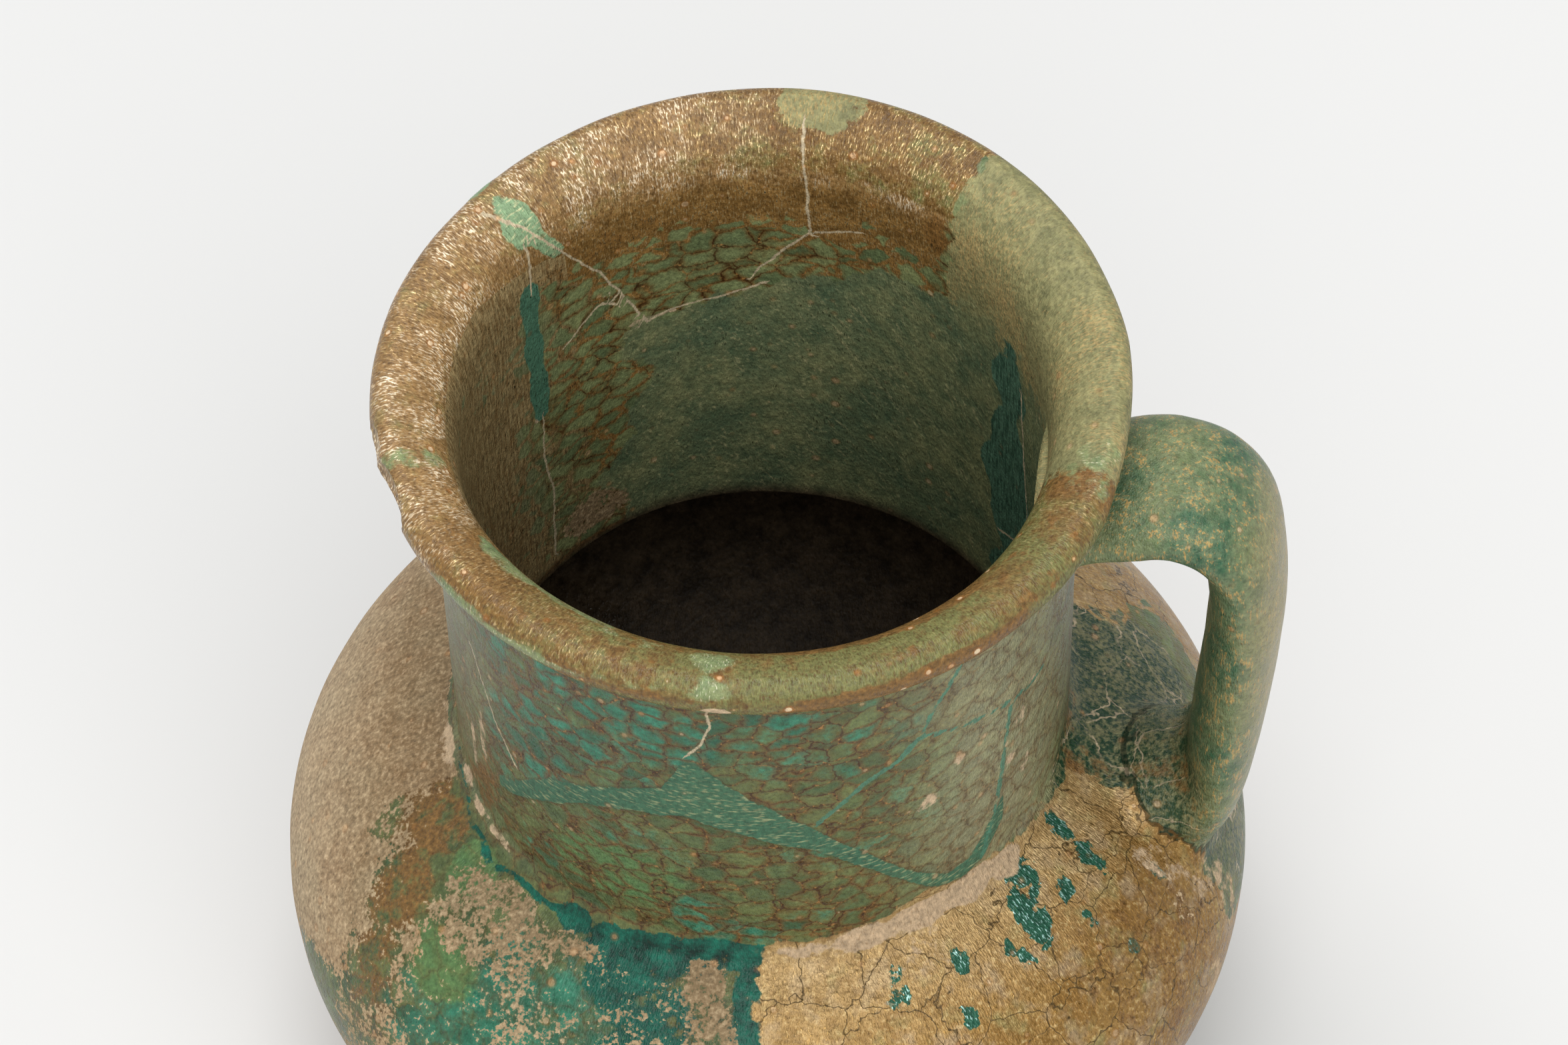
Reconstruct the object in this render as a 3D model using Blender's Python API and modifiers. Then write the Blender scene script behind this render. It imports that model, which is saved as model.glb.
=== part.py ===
"""A glazed earthenware jug: round body, wide straight neck, flaring lip and one strap handle.

The jug is thrown, luted and fired as one piece, so it is one solid. It stands on its foot,
with the origin at the middle of the underside, +Z up and the handle towards +X.
Lengths are in metres.
"""
import math

import bmesh
import bpy
from mathutils import Vector

# Body and foot
BELLY_RADIUS = 0.0732
BELLY_HEIGHT = 0.0505
SHOULDER_RISE = 0.0412
BELLY_DROP = 0.0490
FOOT_RADIUS = 0.0370
FOOT_HEIGHT = 0.0060
FOOT_EDGE = 0.0009
BODY_WALL = 0.0046
FLOOR_THICKNESS = 0.0080

# Neck and lip
RIM_HEIGHT = 0.1570
RIM_RADIUS = 0.0530
LIP_ROUND = 0.0030
LIP_DEPTH = 0.0150
NECK_RADIUS = 0.0457
NECK_BORE = 0.0412
NECK_FOOT_HEIGHT = 0.0822
NECK_FILLET = 0.0035

# Handle: its section, and its middle line as distance from the axis, height and fullness
STRAP_WIDTH = 0.0238
STRAP_THICKNESS = 0.0104
HANDLE_LINE = (
    (0.0420, 0.1372, 1.16),
    (0.0500, 0.1402, 1.04),
    (0.0598, 0.1421, 0.98),
    (0.0674, 0.1372, 1.00),
    (0.0700, 0.1275, 1.03),
    (0.0702, 0.1120, 1.04),
    (0.0690, 0.0925, 1.04),
    (0.0676, 0.0790, 1.03),
    (0.0650, 0.0690, 0.88),
    (0.0605, 0.0610, 0.62),
)

# The mouth is not level: the rim leans up at the back, and it is slightly saddle-shaped
LEAN = math.radians(3.3)
LEAN_DIRECTION = math.radians(99.0)
SADDLE = 0.0010
SADDLE_DIRECTION = math.radians(64.0)

# Chips in the lip: direction, distance from the axis, height and size
LIP_CHIPS = (
    (math.radians(204.0), 0.0552, 0.1538, 0.0038),
    (math.radians(195.5), 0.0556, 0.1550, 0.0034),
    (math.radians(173.0), 0.0558, 0.1545, 0.0033),
    (math.radians(78.0), 0.0553, 0.1560, 0.0030),
)

TURNS = 64
SECTION_SIDES = 20


def clear_scene():
    for old in list(bpy.data.objects):
        bpy.data.objects.remove(old)


def make_collection(name):
    collection = bpy.data.collections.new(name)
    bpy.context.scene.collection.children.link(collection)
    return collection


def arc(centre_height, reach, rise, start, end, steps):
    """Points on an oval round a centre on the axis, with the angles in degrees."""
    points = []
    for step in range(steps + 1):
        angle = math.radians(start + (end - start) * step / steps)
        points.append((reach * math.cos(angle), centre_height + rise * math.sin(angle)))
    return points


def bend(start, leave, arrive, end, steps):
    """Points on a smooth bend between two ends, steered by two points between them."""
    points = []
    for step in range(steps + 1):
        t = step / steps
        s = 1.0 - t
        weights = (s ** 3, 3 * s * s * t, 3 * s * t * t, t ** 3)
        corners = (start, leave, arrive, end)
        x = sum(weight * corner[0] for weight, corner in zip(weights, corners))
        z = sum(weight * corner[1] for weight, corner in zip(weights, corners))
        points.append((x, z))
    return points


def narrowing_angle(radius, full_radius):
    """The angle in degrees at which an oval has narrowed from its full radius to this one."""
    return math.degrees(math.acos(radius / full_radius))


def lip_and_neck_profile(shoulder_start):
    """The rounded lip, its hollow underside, the straight neck and the fillet at its foot."""
    edge = RIM_RADIUS - LIP_ROUND
    neck_top = (NECK_RADIUS, RIM_HEIGHT - LIP_DEPTH)
    neck_foot = (NECK_RADIUS - 0.0003, NECK_FOOT_HEIGHT + NECK_FILLET)
    under_lip = (edge - 0.0006, RIM_HEIGHT - 2 * LIP_ROUND)
    round_lip = arc(RIM_HEIGHT - LIP_ROUND, LIP_ROUND, LIP_ROUND, 75.0, -75.0, 7)

    points = [(0.0, RIM_HEIGHT), (edge, RIM_HEIGHT)]
    points += [(edge + x, z) for x, z in round_lip]
    points += bend(under_lip, (NECK_RADIUS + 0.0013, RIM_HEIGHT - 0.0070),
                   (NECK_RADIUS, RIM_HEIGHT - 0.0090), neck_top, 4)
    points += bend(neck_top, (NECK_RADIUS - 0.0001, 0.1250),
                   (NECK_RADIUS - 0.0003, 0.1000), neck_foot, 5)[1:]
    points += bend(neck_foot, (NECK_RADIUS, NECK_FOOT_HEIGHT + 0.0012),
                   (NECK_RADIUS + 0.0016, shoulder_start[1] + 0.0009), shoulder_start, 3)[1:]
    return points


def outer_profile():
    """The outside of the jug from the top of the lip down to the middle of the underside."""
    shoulder_angle = narrowing_angle(NECK_RADIUS + NECK_FILLET, BELLY_RADIUS)
    foot_angle = narrowing_angle(FOOT_RADIUS + 0.0020, BELLY_RADIUS)
    shoulder = arc(BELLY_HEIGHT, BELLY_RADIUS, SHOULDER_RISE, shoulder_angle, 0.0, 9)
    belly = arc(BELLY_HEIGHT, BELLY_RADIUS, BELLY_DROP, 0.0, -foot_angle, 9)

    points = lip_and_neck_profile(shoulder[0])
    points += shoulder[1:]
    points += belly[1:]
    points += [(FOOT_RADIUS, FOOT_HEIGHT), (FOOT_RADIUS + 0.0002, FOOT_HEIGHT / 2)]
    points += [(FOOT_RADIUS, FOOT_EDGE), (FOOT_RADIUS - FOOT_EDGE, 0.0), (0.0, 0.0)]
    return points


def hollow_profile():
    """The hollow from above the mouth down to the middle of the floor."""
    above = RIM_HEIGHT + 0.0100
    outside = RIM_RADIUS + LIP_ROUND
    flare_top = (RIM_RADIUS - LIP_ROUND, RIM_HEIGHT)
    flare_foot = (NECK_BORE, RIM_HEIGHT - LIP_DEPTH)
    inner_radius = BELLY_RADIUS - BODY_WALL
    opening = narrowing_angle(NECK_BORE + 0.0030, inner_radius)
    shoulder = arc(BELLY_HEIGHT, inner_radius, SHOULDER_RISE - BODY_WALL, opening, 0.0, 6)
    belly = arc(BELLY_HEIGHT, inner_radius, BELLY_HEIGHT - FLOOR_THICKNESS, 0.0, -90.0, 8)

    points = [(0.0, above), (outside, above), (outside, RIM_HEIGHT + 0.0006)]
    points += bend(flare_top, (NECK_BORE + 0.0018, RIM_HEIGHT - 0.0019),
                   (NECK_BORE, RIM_HEIGHT - 0.0050), flare_foot, 6)
    points += [(NECK_BORE, 0.1210), (NECK_BORE, 0.1000), (NECK_BORE, shoulder[0][1] + 0.0020)]
    points += shoulder
    points += belly[1:-1]
    points += [(0.0, FLOOR_THICKNESS)]
    return points


def turned(name, profile, collection):
    """A solid turned about Z from a profile that runs down its outer side."""
    mesh = bpy.data.meshes.new(name)
    corners = [(x, 0.0, z) for x, z in profile]
    edges = [(i, i + 1) for i in range(len(corners) - 1)]
    mesh.from_pydata(corners, edges, [])
    piece = bpy.data.objects.new(name, mesh)
    collection.objects.link(piece)
    screw = piece.modifiers.new("turn", 'SCREW')
    screw.axis = 'Z'
    screw.angle = math.tau
    screw.steps = TURNS
    screw.render_steps = TURNS
    screw.use_merge_vertices = True
    screw.merge_threshold = 0.00005
    return piece


def strap_section(name, collection):
    """The strap's section: a flattened oval, wide across the handle."""
    curve = bpy.data.curves.new(name, 'CURVE')
    curve.dimensions = '2D'
    spline = curve.splines.new('POLY')
    spline.points.add(SECTION_SIDES - 1)
    for index, point in enumerate(spline.points):
        angle = math.tau * index / SECTION_SIDES
        fullness = math.copysign(abs(math.cos(angle)) ** 0.88, math.cos(angle))
        across = fullness * STRAP_WIDTH / 2
        through = math.sin(angle) * STRAP_THICKNESS / 2
        point.co = (across, through, 0.0, 1.0)
    spline.use_cyclic_u = True
    section = bpy.data.objects.new(name, curve)
    collection.objects.link(section)
    return as_cutter(section)


def strap_handle(name, section, collection):
    """The handle: an oval strap swept from under the lip down to the shoulder."""
    curve = bpy.data.curves.new(name, 'CURVE')
    curve.dimensions = '3D'
    curve.twist_mode = 'MINIMUM'
    curve.resolution_u = 3
    curve.bevel_mode = 'OBJECT'
    curve.bevel_object = section
    curve.use_fill_caps = True
    spline = curve.splines.new('BEZIER')
    spline.bezier_points.add(len(HANDLE_LINE) - 1)
    for point, (distance, height, fullness) in zip(spline.bezier_points, HANDLE_LINE):
        point.co = (distance, 0.0, height)
        point.handle_left_type = 'AUTO'
        point.handle_right_type = 'AUTO'
        point.radius = fullness
    line = bpy.data.objects.new(name + "_line", curve)
    collection.objects.link(line)
    return meshed(line, name, collection)


def meshed(source, name, collection):
    """A mesh object with the evaluated shape of another, which is then removed."""
    graph = bpy.context.evaluated_depsgraph_get()
    graph.update()
    mesh = bpy.data.meshes.new_from_object(source.evaluated_get(graph))
    work = bmesh.new()
    work.from_mesh(mesh)
    bmesh.ops.remove_doubles(work, verts=work.verts, dist=0.00002)
    bmesh.ops.recalc_face_normals(work, faces=work.faces)
    work.to_mesh(mesh)
    work.free()
    mesh.name = name
    piece = bpy.data.objects.new(name, mesh)
    piece.matrix_world = source.matrix_world.copy()
    collection.objects.link(piece)
    bpy.data.objects.remove(source)
    return piece


def chip_cutter(index, direction, distance, height, size, collection):
    """A small uneven lump that bites a shell-shaped chip out of the lip."""
    mesh = bpy.data.meshes.new(f"chip_{index}")
    work = bmesh.new()
    bmesh.ops.create_icosphere(work, subdivisions=2, radius=size)
    for vert in work.verts:
        ripple = 1.0 + 0.10 * math.sin(900.0 * vert.co.x + index) * math.cos(1100.0 * vert.co.z)
        vert.co = Vector((vert.co.x * 0.85, vert.co.y * 1.7, vert.co.z * 1.1)) * ripple
    work.to_mesh(mesh)
    work.free()
    cutter = bpy.data.objects.new(f"chip_{index}", mesh)
    cutter.location = (distance * math.cos(direction), distance * math.sin(direction), height)
    cutter.rotation_euler = (0.0, 0.0, direction)
    collection.objects.link(cutter)
    return as_cutter(cutter)


def as_cutter(piece):
    piece.hide_render = True
    piece.display_type = 'WIRE'
    return piece


def combine(piece, other, operation):
    step = piece.modifiers.new(other.name, 'BOOLEAN')
    step.operation = operation
    step.solver = 'EXACT'
    step.object = other


def lean_mouth(mesh):
    """Tip the mouth and saddle it a little, fading out down the neck."""
    for vert in mesh.vertices:
        share = (vert.co.z - NECK_FOOT_HEIGHT) / (RIM_HEIGHT - NECK_FOOT_HEIGHT)
        share = min(1.0, max(0.0, share))
        share = share * share * (3.0 - 2.0 * share)
        reach = min(math.hypot(vert.co.x, vert.co.y), RIM_RADIUS)
        direction = math.atan2(vert.co.y, vert.co.x)
        rise = reach * math.tan(LEAN) * math.cos(direction - LEAN_DIRECTION)
        wave = SADDLE * (reach / RIM_RADIUS) * math.cos(2.0 * (direction - SADDLE_DIRECTION))
        vert.co.z += share * (rise + wave)


def weathered_glaze():
    """Turquoise glaze, dulled by burial to green and gold."""
    colour = (0.125, 0.155, 0.075, 1.0)
    material = bpy.data.materials.new("weathered_turquoise_glaze")
    material.use_nodes = True
    shader = material.node_tree.nodes["Principled BSDF"]
    shader.inputs["Base Color"].default_value = colour
    shader.inputs["Roughness"].default_value = 0.38
    shader.inputs["Metallic"].default_value = 0.0
    material.diffuse_color = colour
    return material


def build_jug():
    parts = make_collection("glazed_pottery_jug")
    cutters = make_collection("cutters")

    body = turned("jug_turned", outer_profile(), parts)
    handle = strap_handle("handle_strap", strap_section("strap_section", cutters), cutters)
    hollow = turned("hollow", hollow_profile(), cutters)
    combine(body, as_cutter(handle), 'UNION')
    combine(body, as_cutter(hollow), 'DIFFERENCE')
    for index, chip in enumerate(LIP_CHIPS):
        combine(body, chip_cutter(index, *chip, cutters), 'DIFFERENCE')

    jug = meshed(body, "jug", parts)
    lean_mouth(jug.data)
    jug.data.materials.clear()
    jug.data.materials.append(weathered_glaze())
    jug.data.shade_smooth()
    jug.data.set_sharp_from_angle(angle=math.radians(40.0))
    return jug


clear_scene()
build_jug()
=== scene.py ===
import math

import bpy
import numpy as np
from mathutils import Matrix, Vector, noise
from mathutils.bvhtree import BVHTree
from mathutils.kdtree import KDTree


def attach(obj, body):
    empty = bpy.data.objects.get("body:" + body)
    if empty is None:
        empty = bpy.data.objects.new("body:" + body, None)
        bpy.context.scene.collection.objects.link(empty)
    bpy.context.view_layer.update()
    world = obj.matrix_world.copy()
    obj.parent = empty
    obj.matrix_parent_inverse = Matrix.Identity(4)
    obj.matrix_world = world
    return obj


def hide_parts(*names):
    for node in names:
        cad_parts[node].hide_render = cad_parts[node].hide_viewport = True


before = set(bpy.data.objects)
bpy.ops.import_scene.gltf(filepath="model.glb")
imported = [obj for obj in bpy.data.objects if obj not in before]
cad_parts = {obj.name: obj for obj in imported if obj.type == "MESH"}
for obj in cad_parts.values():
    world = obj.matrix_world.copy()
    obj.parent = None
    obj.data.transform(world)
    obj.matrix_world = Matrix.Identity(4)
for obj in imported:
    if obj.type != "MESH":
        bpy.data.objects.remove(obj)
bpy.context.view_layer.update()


# The camera. It stands in front of the jug and well above it, and looks down into the mouth with a
# long lens, so the jug fills the picture and its foot is cut off by the lower edge. Lengths here and
# below are in metres where nothing else is said.
LENS_MM = 122.862
SENSOR_MM = 36.0
EYE = Vector((0.07806, -0.46877, 0.72222))
LOOK_DOWN = math.radians(51.515)
LOOK_ROUND = math.radians(8.98)
LOOK_ROLL = math.radians(-1.702)

bpy.ops.object.select_all(action='DESELECT')
bpy.ops.object.camera_add()
camera = bpy.context.object
camera.data.lens = LENS_MM
camera.data.sensor_width = SENSOR_MM
camera.data.clip_start = 0.05
tilt = Matrix.Rotation(math.pi / 2 - LOOK_DOWN, 4, 'X')
roll = Matrix.Rotation(LOOK_ROLL, 4, 'Z')
camera.matrix_world = Matrix.Translation(EYE) @ Matrix.Rotation(LOOK_ROUND, 4, 'Z') @ tilt @ roll
bpy.context.scene.camera = camera
bpy.context.scene.view_settings.view_transform = 'Standard'


# The table and the light. A white table runs out of the picture on all sides. A soft lamp hangs
# overhead, a little to the back left, a wider one stands at the front right, and the white room
# fills the shadows.
FLOOR_SIZE = 8.0
LAMP_PLACE, LAMP_SIZE, LAMP_POWER = Vector((-0.28, 0.28, 2.25)), 1.5, 28.5
FILL_PLACE, FILL_SIZE, FILL_POWER = Vector((0.60, -1.70, 1.95)), 2.8, 47.0
LIT_PLACE = Vector((0.0, 0.0, 0.1))
ROOM_LIGHT = 0.53


def linear(code):
    """A colour given as sRGB hex, as the linear values that a shader takes."""
    shares = [int(code[at:at + 2], 16) / 255 for at in (0, 2, 4)]
    straight = [s / 12.92 if s <= 0.04045 else ((s + 0.055) / 1.055) ** 2.4 for s in shares]
    return (*straight, 1.0)


bpy.ops.object.select_all(action='DESELECT')
bpy.ops.mesh.primitive_plane_add(size=FLOOR_SIZE, location=(0.0, 0.0, 0.0))
floor = bpy.context.object
floor.name = "white_table"
table_top = bpy.data.materials.new("white_table_top")
table_top.use_nodes = True
table_shader = table_top.node_tree.nodes["Principled BSDF"]
table_shader.inputs["Base Color"].default_value = linear("d5d5d4")
table_shader.inputs["Roughness"].default_value = 0.9
table_shader.inputs["Specular IOR Level"].default_value = 0.2
floor.data.materials.append(table_top)

for place, size, power in ((LAMP_PLACE, LAMP_SIZE, LAMP_POWER), (FILL_PLACE, FILL_SIZE, FILL_POWER)):
    bpy.ops.object.select_all(action='DESELECT')
    bpy.ops.object.light_add(type='AREA', location=place)
    lamp = bpy.context.object
    lamp.data.shape = 'DISK'
    lamp.data.size = size
    lamp.data.energy = power
    lamp.rotation_euler = (LIT_PLACE - place).to_track_quat('-Z', 'Y').to_euler()

room = bpy.data.worlds.new("white_room")
room.use_nodes = True
room.node_tree.nodes["Background"].inputs["Color"].default_value = linear("ffffff")
room.node_tree.nodes["Background"].inputs["Strength"].default_value = ROOM_LIGHT
bpy.context.scene.world = room


# The jug. One piece of fired clay: the body, neck and lip are thrown on a wheel, the strap handle
# is luted on, and all of it is glazed turquoise. Burial has turned the glaze green and gold, and
# the jug has been put together again from sherds, with coloured fills and overpaint on the joins.
BELLY_RADIUS = 0.0732
BELLY_HEIGHT = 0.0505
SHOULDER_RISE = 0.0412
BELLY_DROP = 0.0490
FOOT_RADIUS = 0.0370
FOOT_HEIGHT = 0.0060
FOOT_EDGE = 0.0009
BODY_WALL = 0.0046
FLOOR_THICKNESS = 0.0080
RIM_HEIGHT = 0.1570
RIM_RADIUS = 0.0530
LIP_ROUND = 0.0030
LIP_DEPTH = 0.0150
NECK_RADIUS = 0.0457
NECK_BORE = 0.0412
NECK_FOOT_HEIGHT = 0.0822
NECK_FILLET = 0.0035
TURNS = 320


def oval(centre_height, reach, rise, start, end, steps):
    """Points on an oval round a centre on the axis, with the angles in degrees."""
    angles = [math.radians(start + (end - start) * step / steps) for step in range(steps + 1)]
    return [(reach * math.cos(angle), centre_height + rise * math.sin(angle)) for angle in angles]


def bend(start, leave, arrive, end, steps):
    """Points on a smooth bend between two ends, steered by two points between them."""
    points = []
    for step in range(steps + 1):
        t = step / steps
        s = 1.0 - t
        weights = (s ** 3, 3 * s * s * t, 3 * s * t * t, t ** 3)
        corners = (start, leave, arrive, end)
        points.append(tuple(sum(w * c[axis] for w, c in zip(weights, corners)) for axis in (0, 1)))
    return points


def narrowing_angle(radius, full_radius):
    """The angle in degrees at which an oval has narrowed from its full radius to this one."""
    return math.degrees(math.acos(radius / full_radius))


# The wall's section, from the middle of the floor inside, over the lip, to the middle underneath
inner_radius = BELLY_RADIUS - BODY_WALL
opening_angle = narrowing_angle(NECK_BORE + 0.0030, inner_radius)
shoulder_angle = narrowing_angle(NECK_RADIUS + NECK_FILLET, BELLY_RADIUS)
foot_angle = narrowing_angle(FOOT_RADIUS + 0.0020, BELLY_RADIUS)
lip_edge = RIM_RADIUS - LIP_ROUND
neck_top = (NECK_RADIUS, RIM_HEIGHT - LIP_DEPTH)
neck_foot = (NECK_RADIUS - 0.0003, NECK_FOOT_HEIGHT + NECK_FILLET)
shoulder = oval(BELLY_HEIGHT, BELLY_RADIUS, SHOULDER_RISE, shoulder_angle, 0.0, 42)
lip_round = oval(RIM_HEIGHT - LIP_ROUND, LIP_ROUND, LIP_ROUND, 75.0, -75.0, 11)

section = [(0.0, FLOOR_THICKNESS)]
section += oval(BELLY_HEIGHT, inner_radius, BELLY_HEIGHT - FLOOR_THICKNESS, -90.0, 0.0, 14)[1:]
section += oval(BELLY_HEIGHT, inner_radius, SHOULDER_RISE - BODY_WALL, 0.0, opening_angle, 10)[1:]
bore_foot = (NECK_BORE, section[-1][1] + 0.0020)
flare_foot = (NECK_BORE, RIM_HEIGHT - LIP_DEPTH)
section += bend(bore_foot, bore_foot, flare_foot, flare_foot, 48)
section += bend(flare_foot, (NECK_BORE, RIM_HEIGHT - 0.0050), (NECK_BORE + 0.0018, RIM_HEIGHT - 0.0019),
                (lip_edge, RIM_HEIGHT), 18)[1:]
section += [(lip_edge + reach, height) for reach, height in lip_round]
section += bend((lip_edge - 0.0006, RIM_HEIGHT - 2 * LIP_ROUND),
                (NECK_RADIUS + 0.0013, RIM_HEIGHT - 0.0070), (NECK_RADIUS, RIM_HEIGHT - 0.0090), neck_top,
                9)
section += bend(neck_top, (NECK_RADIUS - 0.0001, 0.1250), (NECK_RADIUS - 0.0003, 0.1000), neck_foot, 56)[1:]
section += bend(neck_foot, (NECK_RADIUS, NECK_FOOT_HEIGHT + 0.0012),
                (NECK_RADIUS + 0.0016, shoulder[0][1] + 0.0009), shoulder[0], 6)[1:]
section += shoulder[1:]
section += oval(BELLY_HEIGHT, BELLY_RADIUS, BELLY_DROP, 0.0, -foot_angle, 34)[1:]
section += [(FOOT_RADIUS, FOOT_HEIGHT), (FOOT_RADIUS + 0.0002, FOOT_HEIGHT / 2)]
section += [(FOOT_RADIUS, FOOT_EDGE), (FOOT_RADIUS - FOOT_EDGE, 0.0), (0.0, 0.0)]

# Draw the section point by point and spin it once round, as the wheel does
bpy.ops.object.select_all(action='DESELECT')
bpy.ops.mesh.primitive_plane_add(size=0.01, location=(0.0, 0.0, 0.0))
jug = bpy.context.object
jug.name = "jug_glazed"
bpy.ops.object.mode_set(mode='EDIT')
bpy.ops.mesh.merge(type='CENTER')
bpy.ops.transform.translate(value=(0.0, 0.0, FLOOR_THICKNESS))
for (reach, height), (next_reach, next_height) in zip(section, section[1:]):
    step = (next_reach - reach, 0.0, next_height - height)
    bpy.ops.mesh.extrude_region_move(TRANSFORM_OT_translate={"value": step})
bpy.ops.mesh.select_all(action='SELECT')
bpy.ops.mesh.spin(steps=TURNS, angle=math.tau, center=(0.0, 0.0, 0.0), axis=(0.0, 0.0, 1.0))
bpy.ops.mesh.select_all(action='SELECT')
bpy.ops.mesh.remove_doubles(threshold=0.00001)
bpy.ops.mesh.normals_make_consistent(inside=False)
bpy.ops.object.mode_set(mode='OBJECT')

# The strap handle: its section, and its middle line as distance from the axis, height and fullness
STRAP_WIDTH = 0.0238
STRAP_THICKNESS = 0.0104
STRAP_SIDES = 44
STRAP_SQUARENESS = 0.88
HANDLE_LINE = (
    (0.0420, 0.1372, 1.16),
    (0.0500, 0.1402, 1.04),
    (0.0598, 0.1421, 0.98),
    (0.0674, 0.1372, 1.00),
    (0.0700, 0.1275, 1.03),
    (0.0702, 0.1120, 1.04),
    (0.0690, 0.0925, 1.04),
    (0.0676, 0.0790, 1.03),
    (0.0650, 0.0690, 0.88),
    (0.0605, 0.0610, 0.62),
)

bpy.ops.object.select_all(action='DESELECT')
bpy.ops.curve.primitive_bezier_circle_add(radius=1.0)
strap_section = bpy.context.object
strap_section.data.splines.clear()
ring = strap_section.data.splines.new('POLY')
ring.points.add(STRAP_SIDES - 1)
for index, point in enumerate(ring.points):
    angle = math.tau * index / STRAP_SIDES
    fullness = math.copysign(abs(math.cos(angle)) ** STRAP_SQUARENESS, math.cos(angle))
    point.co = (fullness * STRAP_WIDTH / 2, math.sin(angle) * STRAP_THICKNESS / 2, 0.0, 1.0)
ring.use_cyclic_u = True

bpy.ops.object.select_all(action='DESELECT')
bpy.ops.curve.primitive_bezier_curve_add()
handle = bpy.context.object
handle.name = "strap_handle"
handle.data.twist_mode = 'MINIMUM'
handle.data.resolution_u = 12
handle.data.bevel_mode = 'OBJECT'
handle.data.bevel_object = strap_section
handle.data.use_fill_caps = True
handle.data.splines[0].bezier_points.add(len(HANDLE_LINE) - 2)
for point, (distance, height, fullness) in zip(handle.data.splines[0].bezier_points, HANDLE_LINE):
    point.co = (distance, 0.0, height)
    point.handle_left_type = 'AUTO'
    point.handle_right_type = 'AUTO'
    point.radius = fullness
bpy.ops.object.convert(target='MESH')
bpy.ops.object.mode_set(mode='EDIT')
bpy.ops.mesh.select_all(action='SELECT')
bpy.ops.mesh.remove_doubles(threshold=0.00002)
bpy.ops.mesh.normals_make_consistent(inside=False)
bpy.ops.object.mode_set(mode='OBJECT')

# A pad of clay under the handle's foot, towards the neck
PAD_PLACE = (0.0610, 0.0000, 0.0755)
PAD_HALF_SIZE = (0.0095, 0.0115, 0.0075)
PAD_REACH = 0.0200

bpy.ops.object.select_all(action='DESELECT')
bpy.ops.mesh.primitive_uv_sphere_add(segments=48, ring_count=24, radius=1.0, location=PAD_PLACE)
pad = bpy.context.object
pad.scale = PAD_HALF_SIZE
bpy.ops.object.transform_apply(location=True, rotation=True, scale=True)

# Lute the handle on, then wipe the clay of the two joins smooth. The wiping reaches only so far from
# the join and the pad, on the handle's side of the jug and outside its bore.
JOIN_REACH = 0.0110
JOIN_PASSES = 90
JOIN_FROM_AXIS = 0.030
JOIN_HALF_WIDTH = 0.030
JOIN_LOWEST = 0.040
JOIN_OFF_BORE = 0.0015
JOIN_STRENGTH = 1.6

graph = bpy.context.evaluated_depsgraph_get()
wall_shape = BVHTree.FromObject(jug, graph)
handle_shape = BVHTree.FromObject(handle, graph)
bpy.ops.object.select_all(action='DESELECT')
jug.select_set(True)
bpy.context.view_layer.objects.active = jug
for name, clay in (("luted", handle), ("padded", pad)):
    union = jug.modifiers.new(name, 'BOOLEAN')
    union.operation = 'UNION'
    union.solver = 'MANIFOLD'
    union.object = clay
    bpy.ops.object.modifier_apply(modifier=union.name)

join = jug.vertex_groups.new(name="join")
for vert in jug.data.vertices:
    near_handle = vert.co.x > JOIN_FROM_AXIS and abs(vert.co.y) < JOIN_HALF_WIDTH
    near_handle = near_handle and vert.co.z > JOIN_LOWEST
    if near_handle and math.hypot(vert.co.x, vert.co.y) > NECK_BORE + JOIN_OFF_BORE:
        from_wall = wall_shape.find_nearest(vert.co)[3]
        from_handle = handle_shape.find_nearest(vert.co)[3]
        share = 1.0 - max(from_wall, from_handle) / JOIN_REACH
        share = max(share, 1.0 - math.dist(vert.co, PAD_PLACE) / PAD_REACH)
        if share > 0.0:
            join.add([vert.index], min(1.0, JOIN_STRENGTH * share), 'REPLACE')
smooth = jug.modifiers.new("wiped", 'SMOOTH')
smooth.factor = 0.5
smooth.iterations = JOIN_PASSES
smooth.vertex_group = "join"
bpy.ops.object.modifier_apply(modifier=smooth.name)
jug.vertex_groups.clear()
for done_with in (handle, pad, strap_section):
    bpy.data.objects.remove(done_with)

# Read the points of the surface, still upright: distance from the axis, direction and height, and
# how far down the section each one lies. What stands off the wall on that side is the handle.
HANDLE_OFF_WALL = 0.0010
HANDLE_FROM_AXIS = 0.04
HANDLE_HALF_WIDTH = 0.016
mesh = jug.data
count = len(mesh.vertices)
place = np.empty(count * 3)
mesh.vertices.foreach_get("co", place)
place = place.reshape(count, 3)
rows = KDTree(len(section))
for index, (reach, height) in enumerate(section):
    rows.insert((reach, 0.0, height), index)
rows.balance()
section_length = np.cumsum([0.0] + [math.dist(a, b) for a, b in zip(section, section[1:])])
outside_start = section.index((lip_edge, RIM_HEIGHT))
row = np.array([rows.find((math.hypot(x, y), 0.0, z))[1] for x, y, z in place])
path = section_length[row]
reach = np.hypot(place[:, 0], place[:, 1])
wall_reach = np.array([point[0] for point in section])[row]
on_handle = (place[:, 0] > HANDLE_FROM_AXIS) & (np.abs(place[:, 1]) < HANDLE_HALF_WIDTH)
on_handle &= reach > wall_reach + HANDLE_OFF_WALL
inside = (row < outside_start) & ~on_handle

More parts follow.
